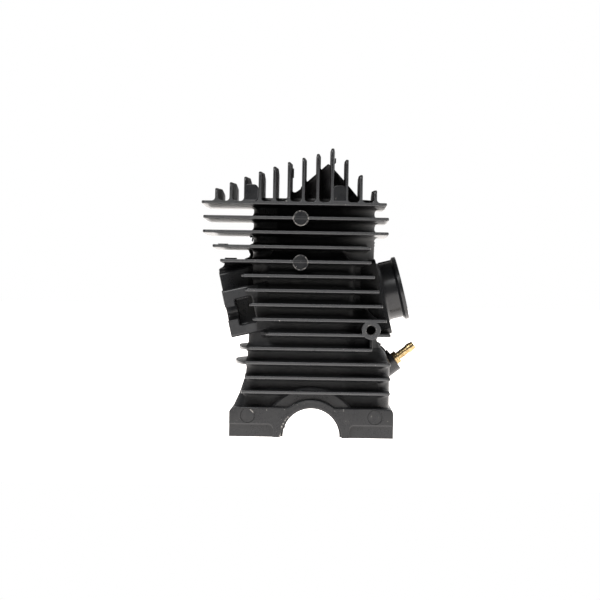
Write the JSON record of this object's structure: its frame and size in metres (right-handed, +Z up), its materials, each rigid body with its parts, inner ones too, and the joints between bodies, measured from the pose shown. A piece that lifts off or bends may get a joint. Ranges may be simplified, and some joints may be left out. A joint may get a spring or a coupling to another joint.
{
  "type": "small engine cylinder",
  "caption": "Air-cooled two-stroke engine cylinder with closed head, side ports, upper crankcase half, pulse nipple and its piston set.",
  "frame": {"origin": "centre of the base bolt pattern on the base face, where the bore axis meets the crank axis", "axes": "+Z up the bore towards the head, +X towards the intake spigot, -X towards the exhaust, Y along the crank axis"},
  "size_m": [0.1052, 0.0824, 0.1402],
  "materials": {
    "black_painted_casting": "satin black heat-resistant paint over die-cast aluminium",
    "brass": "turned, bright",
    "piston_alloy": "turned, fine tool marks",
    "ring_iron": "ground",
    "bright_steel": "ground and polished",
    "spring_steel": "oiled, dull"
  },
  "bodies": {
    "cylinder": {"cylinder_casting": "black_painted_casting", "impulse_nipple": "brass"},
    "piston": {"piston": "piston_alloy", "top_ring": "ring_iron", "second_ring": "ring_iron", "ring_pins": "bright_steel", "circlip_front": "spring_steel", "circlip_rear": "spring_steel"},
    "gudgeon_pin": {"gudgeon_pin": "bright_steel"},
    "small_end_bearing": {"bearing_cage": "spring_steel", "needle_rollers": "bright_steel"}
  },
  "joints": [
    {"name": "piston_slide", "type": "slide", "parent": "cylinder", "child": "piston", "axis": [0, 0, -1], "range_m": [0, 0.034]},
    {"name": "pin_turn", "type": "hinge", "parent": "piston", "child": "gudgeon_pin", "pos_m": [0, 0, 0.075], "axis": [0, 1, 0], "continuous": true},
    {"name": "bearing_turn", "type": "hinge", "parent": "gudgeon_pin", "child": "small_end_bearing", "pos_m": [0, 0, 0.075], "axis": [0, 1, 0], "continuous": true}
  ]
}
